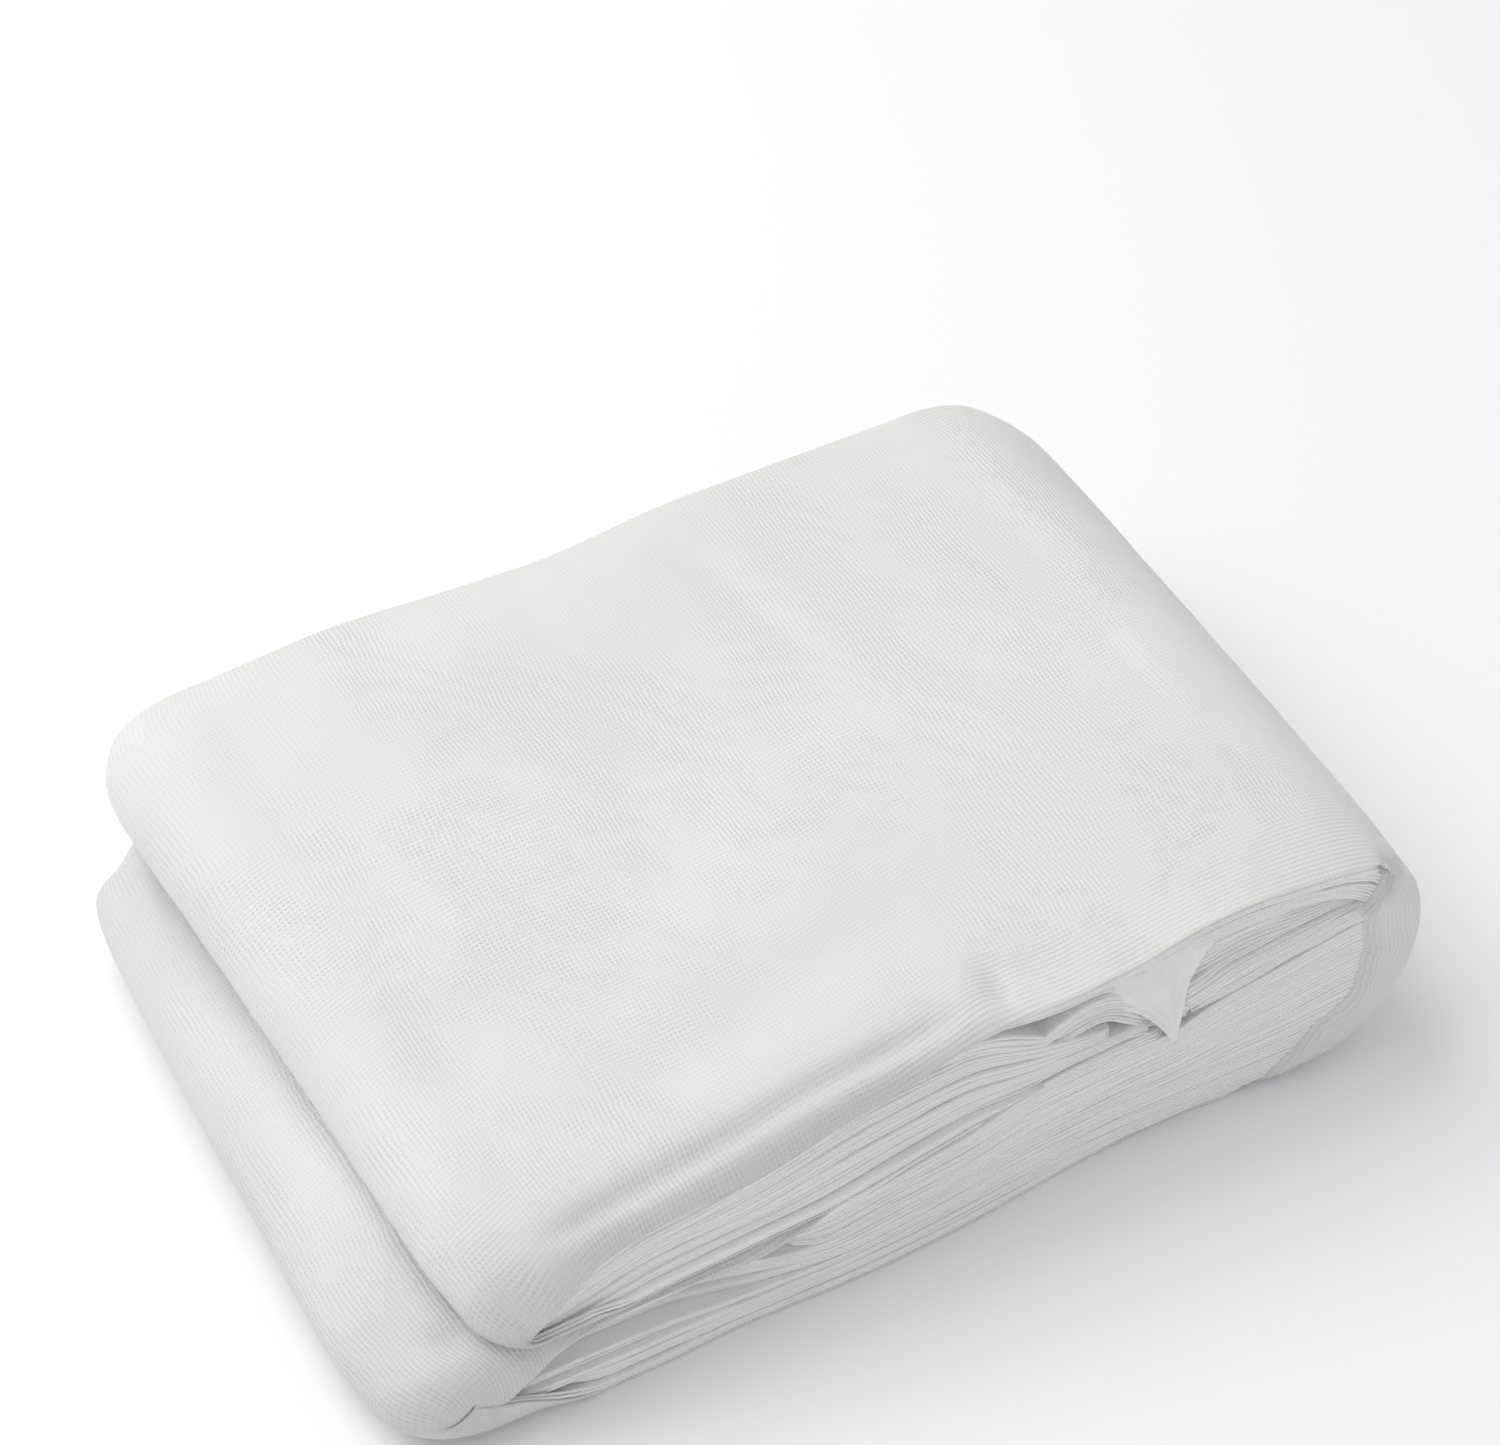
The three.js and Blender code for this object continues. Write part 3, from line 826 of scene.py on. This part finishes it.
def crinkle(rows, arc, y):
    """Outward crinkles of the outermost ply in millimetres."""
    z = rows[:, 1][:, None] + 0 * y
    s = arc[:, None] + 0 * y
    fine = 0.10 * (1 + noise(s / 9.0, y / 14.0, 7.0)) + 0.05 * (1 + noise(s / 4.0, y / 6.0, 8.0))
    return fine * smooth(2, 8, z)


def make_skin():
    rows = loop_path(OUTER, SKIN_STEP)
    cloth = Cloth()
    cloth.add(*ply_surface(rows, 0, PLIES, SKIN_COLUMNS, crinkle, edge_curl(rows)), 0.0)
    return cloth


def flap_point(u, v):
    """A thin slack corner of the net that hangs in the mouth; u runs across it, v down to its tip."""
    at = np.linspace(0, 1, len(FLAP_LEFT))
    left = np.stack([table_curve(at, [p[i] for p in FLAP_LEFT], v) for i in range(3)], -1)
    right = np.stack([table_curve(at, [p[i] for p in FLAP_RIGHT], v) for i in range(3)], -1)
    point = left + (right - left) * u[..., None]
    fold = 1.3 * np.sin(u * 8.0 + 2.2 * v + 0.6) + 0.9 * np.sin(u * 21.0 - 3.0 * v)
    bulge = FLAP_BULGE * np.sin(math.pi * np.clip(u, 0, 1)) ** 0.8 * (1 - 0.9 * v * v) * smooth(0.0, 0.4, v)
    sway = fold * (0.4 + 0.6 * np.sin(math.pi * np.clip(v * 1.1, 0, 1))) * (1 - 0.8 * v) * smooth(0.0, 0.3, v)
    point[..., 1] += sway - bulge
    point[..., 2] += 0.8 * np.sin(u * 5.0 + v * 4.0) * (1 - v)
    return point


def make_flap():
    v, u = np.meshgrid(np.linspace(0, 1, FLAP_ROWS), np.linspace(0, 1, FLAP_COLUMNS), indexing="ij")
    front = flap_point(u, v)
    rim = np.clip(np.minimum(np.minimum(u, 1 - u) * 20, (1 - v) * 20 + 0.1), 0.2, 1.0)
    back = front + np.array([0.0, 1.0, 0.0]) * (FLAP_THICK * rim)[..., None]
    ends = place_points(front[..., 0], front[..., 1], front[..., 2], 1.0)
    rear = place_points(back[..., 0], back[..., 1], back[..., 2], 1.0)
    points = np.concatenate([ends, rear[:, ::-1]], 1)
    half = np.stack([v * FLAP_MAP[0], u * FLAP_MAP[1] * (1 - 0.8 * v)], -1)
    cloth = Cloth()
    cloth.add(points, np.concatenate([half, half[:, ::-1]], 1), 0.0)
    return cloth


def make_mouth():
    """The inner turns, the layers under the mouth fold and the slack layers."""
    cloth = Cloth()
    for index in range(LINERS):
        rows = liner_path(index, LINER_STEP)
        rows[:, 2] -= PLY_FILL
        cloth.add(*ply_surface(rows, index, 1, INNER_COLUMNS, place=0.0), index * 11.0)
    for index, line in enumerate(FILLS):
        rows = through(line, FILL_THICK, FILLING, 1, SLACK_STEP)
        for ply in range(PLIES):
            cloth.add(*ply_surface(rows, ply, PLIES, INNER_COLUMNS), index * 17.0 + ply * 3.0)
    for index in range(SLACKS):
        rows = slack_path(index, SLACK_STEP)
        for ply in range(2):
            surface = ply_surface(rows, ply + 2 * index, 2, INNER_COLUMNS, place=ply - 0.5)
            cloth.add(*surface, index * 13.0 + ply * 5.0)
    return cloth


def make_layers(rows, plies, count, curl=None):
    """The given plies of a strip that is drawn as count plies."""
    cloth = Cloth()
    for ply in plies:
        cloth.add(*ply_surface(rows, ply, count, INNER_COLUMNS, curl=curl), ply * 7.0)
    return cloth


# Materials

def node(tree, kind, **settings):
    made = tree.nodes.new(kind)
    for name, value in settings.items():
        setattr(made, name, value)
    return made


def math_node(tree, operation, a, b=None):
    made = node(tree, "ShaderNodeMath", operation=operation)
    for i, value in enumerate((a, b)):
        if value is None:
            continue
        if isinstance(value, (int, float)):
            made.inputs[i].default_value = value
        else:
            tree.links.new(value, made.inputs[i])
    return made.outputs[0]


def wave_profile(tree, coordinate, pitch):
    """Thread profile from 0 to 1 across one pitch."""
    turned = math_node(tree, "MULTIPLY", coordinate, 2 * math.pi / pitch)
    raised = math_node(tree, "MULTIPLY", math_node(tree, "COSINE", turned), 0.5)
    return math_node(tree, "ADD", raised, 0.5)


def weave(tree, u, v, pitch):
    """Height of a plain weave with one thread per pitch both ways."""
    warp = wave_profile(tree, u, pitch)
    weft = wave_profile(tree, v, pitch)
    half_u = math_node(tree, "COSINE", math_node(tree, "MULTIPLY", u, math.pi / pitch))
    half_v = math_node(tree, "COSINE", math_node(tree, "MULTIPLY", v, math.pi / pitch))
    over = math_node(tree, "MULTIPLY", math_node(tree, "MULTIPLY", half_u, half_v), 0.3)
    up = math_node(tree, "ADD", over, 1.0)
    down = math_node(tree, "SUBTRACT", 1.0, over)
    warp = math_node(tree, "MULTIPLY", warp, up)
    weft = math_node(tree, "MULTIPLY", weft, down)
    return math_node(tree, "MAXIMUM", warp, weft)


def clouds(tree, vector, scale, detail, low, high):
    """Soft patches from 0 to 1: noise of the given scale, stretched from low to high."""
    made = node(tree, "ShaderNodeTexNoise")
    made.inputs["Scale"].default_value = scale
    made.inputs["Detail"].default_value = detail
    tree.links.new(vector, made.inputs["Vector"])
    return ramp(tree, made.outputs[0], low, high)


def ramp(tree, value, low, high, to_low=0.0, to_high=1.0):
    made = node(tree, "ShaderNodeMapRange", interpolation_type="SMOOTHSTEP")
    made.inputs["From Min"].default_value = low
    made.inputs["From Max"].default_value = high
    made.inputs["To Min"].default_value = to_low
    made.inputs["To Max"].default_value = to_high
    tree.links.new(value, made.inputs["Value"])
    return made.outputs[0]


def blend(tree, share, a, b):
    """a where share is 0, b where it is 1."""
    made = node(tree, "ShaderNodeMix", data_type="FLOAT")
    for socket, value in zip((made.inputs[0], made.inputs[2], made.inputs[3]), (share, a, b)):
        if isinstance(value, (int, float)):
            socket.default_value = value
        else:
            tree.links.new(value, socket)
    return made.outputs[0]


def mapped(tree, vector, turn, scale, shift=(0.0, 0.0, 0.0)):
    made = node(tree, "ShaderNodeMapping", vector_type="POINT")
    made.inputs["Rotation"].default_value = (0.0, 0.0, math.radians(turn))
    made.inputs["Scale"].default_value = scale
    made.inputs["Location"].default_value = shift
    tree.links.new(vector, made.inputs["Vector"])
    return made.outputs[0]


def split_uv(tree, vector):
    made = node(tree, "ShaderNodeSeparateXYZ")
    tree.links.new(vector, made.inputs[0])
    return made.outputs[0], made.outputs[1]


def shaken(tree, cloth, vector, scale, reach):
    """The vector moved by noise of the given scale over the cloth, by up to reach metres."""
    made = node(tree, "ShaderNodeTexNoise")
    made.inputs["Scale"].default_value = scale
    made.inputs["Detail"].default_value = 1.0
    tree.links.new(cloth, made.inputs["Vector"])
    moved = node(tree, "ShaderNodeVectorMath", operation="MULTIPLY_ADD")
    tree.links.new(made.outputs["Color"], moved.inputs[0])
    moved.inputs[1].default_value = (reach, reach, 0.0)
    tree.links.new(vector, moved.inputs[2])
    return moved.outputs[0]


def selvedge_share(tree, cloth, selvedge):
    """From 0 to 1: how much the dense threads beside the selvedge show."""
    start, end, wide, _ = selvedge
    run, away = split_uv(tree, cloth)
    fade_in = ramp(tree, run, start, start + 0.04)
    along = math_node(tree, "MULTIPLY", fade_in, ramp(tree, run, end, end - 0.06))
    return math_node(tree, "MULTIPLY", along, ramp(tree, away, wide, wide * 0.5, 0.0, 0.6))


def net_pattern(tree, cloth, pitch, selvedge):
    """Height of the net from 0 to 1, and how much thread covers it.

    Plain weave shows in patches and ribs across the strip in others, over a second layer of weave.
    """
    u, v = split_uv(tree, shaken(tree, cloth, shaken(tree, cloth, cloth, *DRIFT), *SHIVER))
    grid = weave(tree, u, v, pitch)
    under_u, under_v = split_uv(tree, mapped(tree, cloth, 4.0, (1.05, 0.94, 1.0)))
    under = weave(tree, under_u, under_v, pitch)
    ribs = wave_profile(tree, u, pitch * 1.04)
    in_grid = clouds(tree, cloth, *GRID_PATCHES)
    other = mapped(tree, cloth, 0.0, (1.0, 0.6, 1.0), (0.37, 0.21, 0.0))
    in_ribs = clouds(tree, other, *RIB_PATCHES)
    height = blend(tree, in_grid, blend(tree, 0.30, 0.62, grid), grid)
    height = blend(tree, math_node(tree, "MULTIPLY", in_ribs, 0.75), height, ribs)
    if selvedge:
        beside = selvedge_share(tree, cloth, selvedge)
        _, away = split_uv(tree, cloth)
        height = blend(tree, beside, height, wave_profile(tree, away, selvedge[3]))
        under = blend(tree, beside, under, 0.5)
    hole = math_node(tree, "SUBTRACT", 1.0, height)
    seen = math_node(tree, "MULTIPLY", hole, math_node(tree, "MULTIPLY", under, 0.7))
    return height, math_node(tree, "ADD", height, seen)


def painted_rim_shade(tree, cloth):
    """From 0 to 1: the rims of the lower arm and the rolled near edge, where shade is painted into the net's
    colour.
    """
    run, away = split_uv(tree, cloth)
    near_rim = ramp(tree, away, *LOBE_NEAR, 1.0, 0.0)
    lobe = math_node(tree, "MAXIMUM", ramp(tree, run, *LOBE_RUN[0]), near_rim)
    lobe = math_node(tree, "MAXIMUM", lobe, ramp(tree, away, *LOBE_FAR, 0.0, 0.7))
    lobe = math_node(tree, "MULTIPLY", lobe, ramp(tree, run, *LOBE_RUN[1], 1.0, 0.0))
    rolled = ramp(tree, away, *ROLL_NEAR, 1.0, 0.0)
    roll = math_node(tree, "MULTIPLY", ramp(tree, run, *ROLL_RUN), rolled)
    return math_node(tree, "MAXIMUM", lobe, roll)


def net_colour(tree, cloth, covered, thread, hole, rims):
    """Colour of the net: thread over hole, in soft patches, with painted shade at the rims where rims is
    true.
    """
    mix = node(tree, "ShaderNodeMix", data_type="RGBA")
    mix.inputs[6].default_value = (*hole, 1.0)
    mix.inputs[7].default_value = (*thread, 1.0)
    tree.links.new(covered, mix.inputs[0])
    tone = blend(tree, clouds(tree, cloth, *TONE_PATCHES), CLOUD_TONE, 1.0)
    if rims:
        # Painted shade: the rims of the lower arm and the rolled near edge are darkened in colour
        tone = math_node(tree, "MULTIPLY", tone, blend(tree, painted_rim_shade(tree, cloth), 1.0, RIM_PAINTED_SHADE))
    shade = node(tree, "ShaderNodeMix", data_type="RGBA", blend_type="MULTIPLY")
    shade.inputs[0].default_value = 1.0
    tree.links.new(mix.outputs[2], shade.inputs[6])
    tree.links.new(tone, shade.inputs[7])
    return shade.outputs[2]


def net_material(name, thread, hole, pitch, depth, selvedge=None):
    material = bpy.data.materials.new(name)
    material.use_nodes = True
    tree = material.node_tree
    tree.nodes.clear()
    cloth = node(tree, "ShaderNodeUVMap", uv_map="cloth").outputs[0]
    height, covered = net_pattern(tree, cloth, pitch, selvedge)
    colour = net_colour(tree, cloth, covered, thread, hole, selvedge is not None)
    bump = node(tree, "ShaderNodeBump")
    bump.inputs["Strength"].default_value = 1.0
    bump.inputs["Distance"].default_value = depth
    tree.links.new(height, bump.inputs["Height"])
    surface = node(tree, "ShaderNodeBsdfPrincipled")
    surface.inputs["Roughness"].default_value = 0.62
    surface.inputs["Specular IOR Level"].default_value = 0.35
    surface.inputs["Sheen Weight"].default_value = 0.25
    surface.inputs["Sheen Roughness"].default_value = 0.5
    tree.links.new(colour, surface.inputs["Base Color"])
    tree.links.new(bump.outputs[0], surface.inputs["Normal"])
    light_through = node(tree, "ShaderNodeBsdfTranslucent")
    tree.links.new(colour, light_through.inputs["Color"])
    both = node(tree, "ShaderNodeMixShader")
    both.inputs[0].default_value = SEE_THROUGH
    tree.links.new(surface.outputs[0], both.inputs[1])
    tree.links.new(light_through.outputs[0], both.inputs[2])
    out = node(tree, "ShaderNodeOutputMaterial")
    tree.links.new(both.outputs[0], out.inputs["Surface"])
    return material


def floor_material():
    material = bpy.data.materials.new("floor")
    material.use_nodes = True
    surface = material.node_tree.nodes["Principled BSDF"]
    surface.inputs["Base Color"].default_value = (0.93, 0.93, 0.93, 1.0)
    surface.inputs["Roughness"].default_value = 0.9
    surface.inputs["Specular IOR Level"].default_value = 0.1
    return material


# Stage, light and camera

def make_floor():
    mesh = bpy.data.meshes.new("floor")
    side = FLOOR_SIDE
    corners = [(-side, -side, 0), (side, -side, 0), (side, side, 0), (-side, side, 0)]
    mesh.from_pydata(corners, [], [(0, 1, 2, 3)])
    mesh.materials.append(floor_material())
    floor = bpy.data.objects.new("floor", mesh)
    bpy.context.scene.collection.objects.link(floor)


def make_light(name, at, size, power, colour):
    data = bpy.data.lights.new(name, "AREA")
    data.shape = "DISK"
    data.size = size
    data.energy = power
    data.color = colour
    light = bpy.data.objects.new(name, data)
    light.location = at
    light.rotation_euler = (Vector(LIGHT_AIM) - Vector(at)).to_track_quat("-Z", "Y").to_euler()
    bpy.context.scene.collection.objects.link(light)


def make_world():
    world = bpy.data.worlds.new("studio")
    world.use_nodes = True
    background = world.node_tree.nodes["Background"]
    background.inputs["Color"].default_value = WORLD_COLOUR
    background.inputs["Strength"].default_value = WORLD_STRENGTH
    bpy.context.scene.world = world


def make_camera():
    a = math.radians(CAMERA_AZIMUTH)
    e = math.radians(CAMERA_ELEVATION)
    back = Vector((math.sin(a) * math.cos(e), -math.cos(a) * math.cos(e), math.sin(e)))
    aim = Vector([(p - o) * MM for p, o in zip(CAMERA_AIM, ORIGIN)])
    data = bpy.data.cameras.new("camera")
    data.lens = CAMERA_LENS
    data.sensor_width = 36.0
    data.clip_start = 0.05
    camera = bpy.data.objects.new("camera", data)
    camera.location = aim + back * CAMERA_DISTANCE * MM
    camera.rotation_euler = (-back).to_track_quat("-Z", "Y").to_euler()
    bpy.context.scene.collection.objects.link(camera)
    bpy.context.scene.camera = camera


def dress(cloth, name, material):
    piece = cloth.build(name)
    piece.data.materials.append(material)
    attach(piece, "root")
    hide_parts("netting")


make_camera()
make_floor()
make_world()
for name, light in LIGHTS.items():
    make_light(name, *light)
bpy.context.scene.view_settings.view_transform = "Standard"

skin_net = net_material("net_skin", *SKIN_NET, SELVEDGE_THREADS)
# Painted light: the layers' net is lighter than the outer ply's to lift the shade between the plies and
# inside the mouth
layer_net_painted_light = net_material("net_layers_painted_light", *LAYER_NET_PAINTED_LIGHT)

outer = loop_path(OUTER, LAYER_STEP)
outer_curl = edge_curl(outer) * (1 - 0.6 * smooth(96, 118, outer[:, 0]))
second = loop_path(SECOND, LAYER_STEP)
upper = fold_path(True, LAYER_STEP)
lower = fold_path(False, LAYER_STEP)

dress(make_skin(), "net_outer_ply", skin_net)
dress(make_layers(outer, range(1, PLIES), PLIES, outer_curl), "net_outer_wrap", layer_net_painted_light)
dress(make_layers(second, range(PLIES), PLIES), "net_second_wrap", layer_net_painted_light)
dress(make_layers(upper, range(UPPER_PLIES), UPPER_PLIES), "net_upper_folds", layer_net_painted_light)
dress(make_layers(lower, range(LOWER_PLIES), LOWER_PLIES), "net_lower_folds", layer_net_painted_light)
dress(make_mouth(), "net_mouth_lining", layer_net_painted_light)
dress(make_flap(), "net_mouth_flap", layer_net_painted_light)
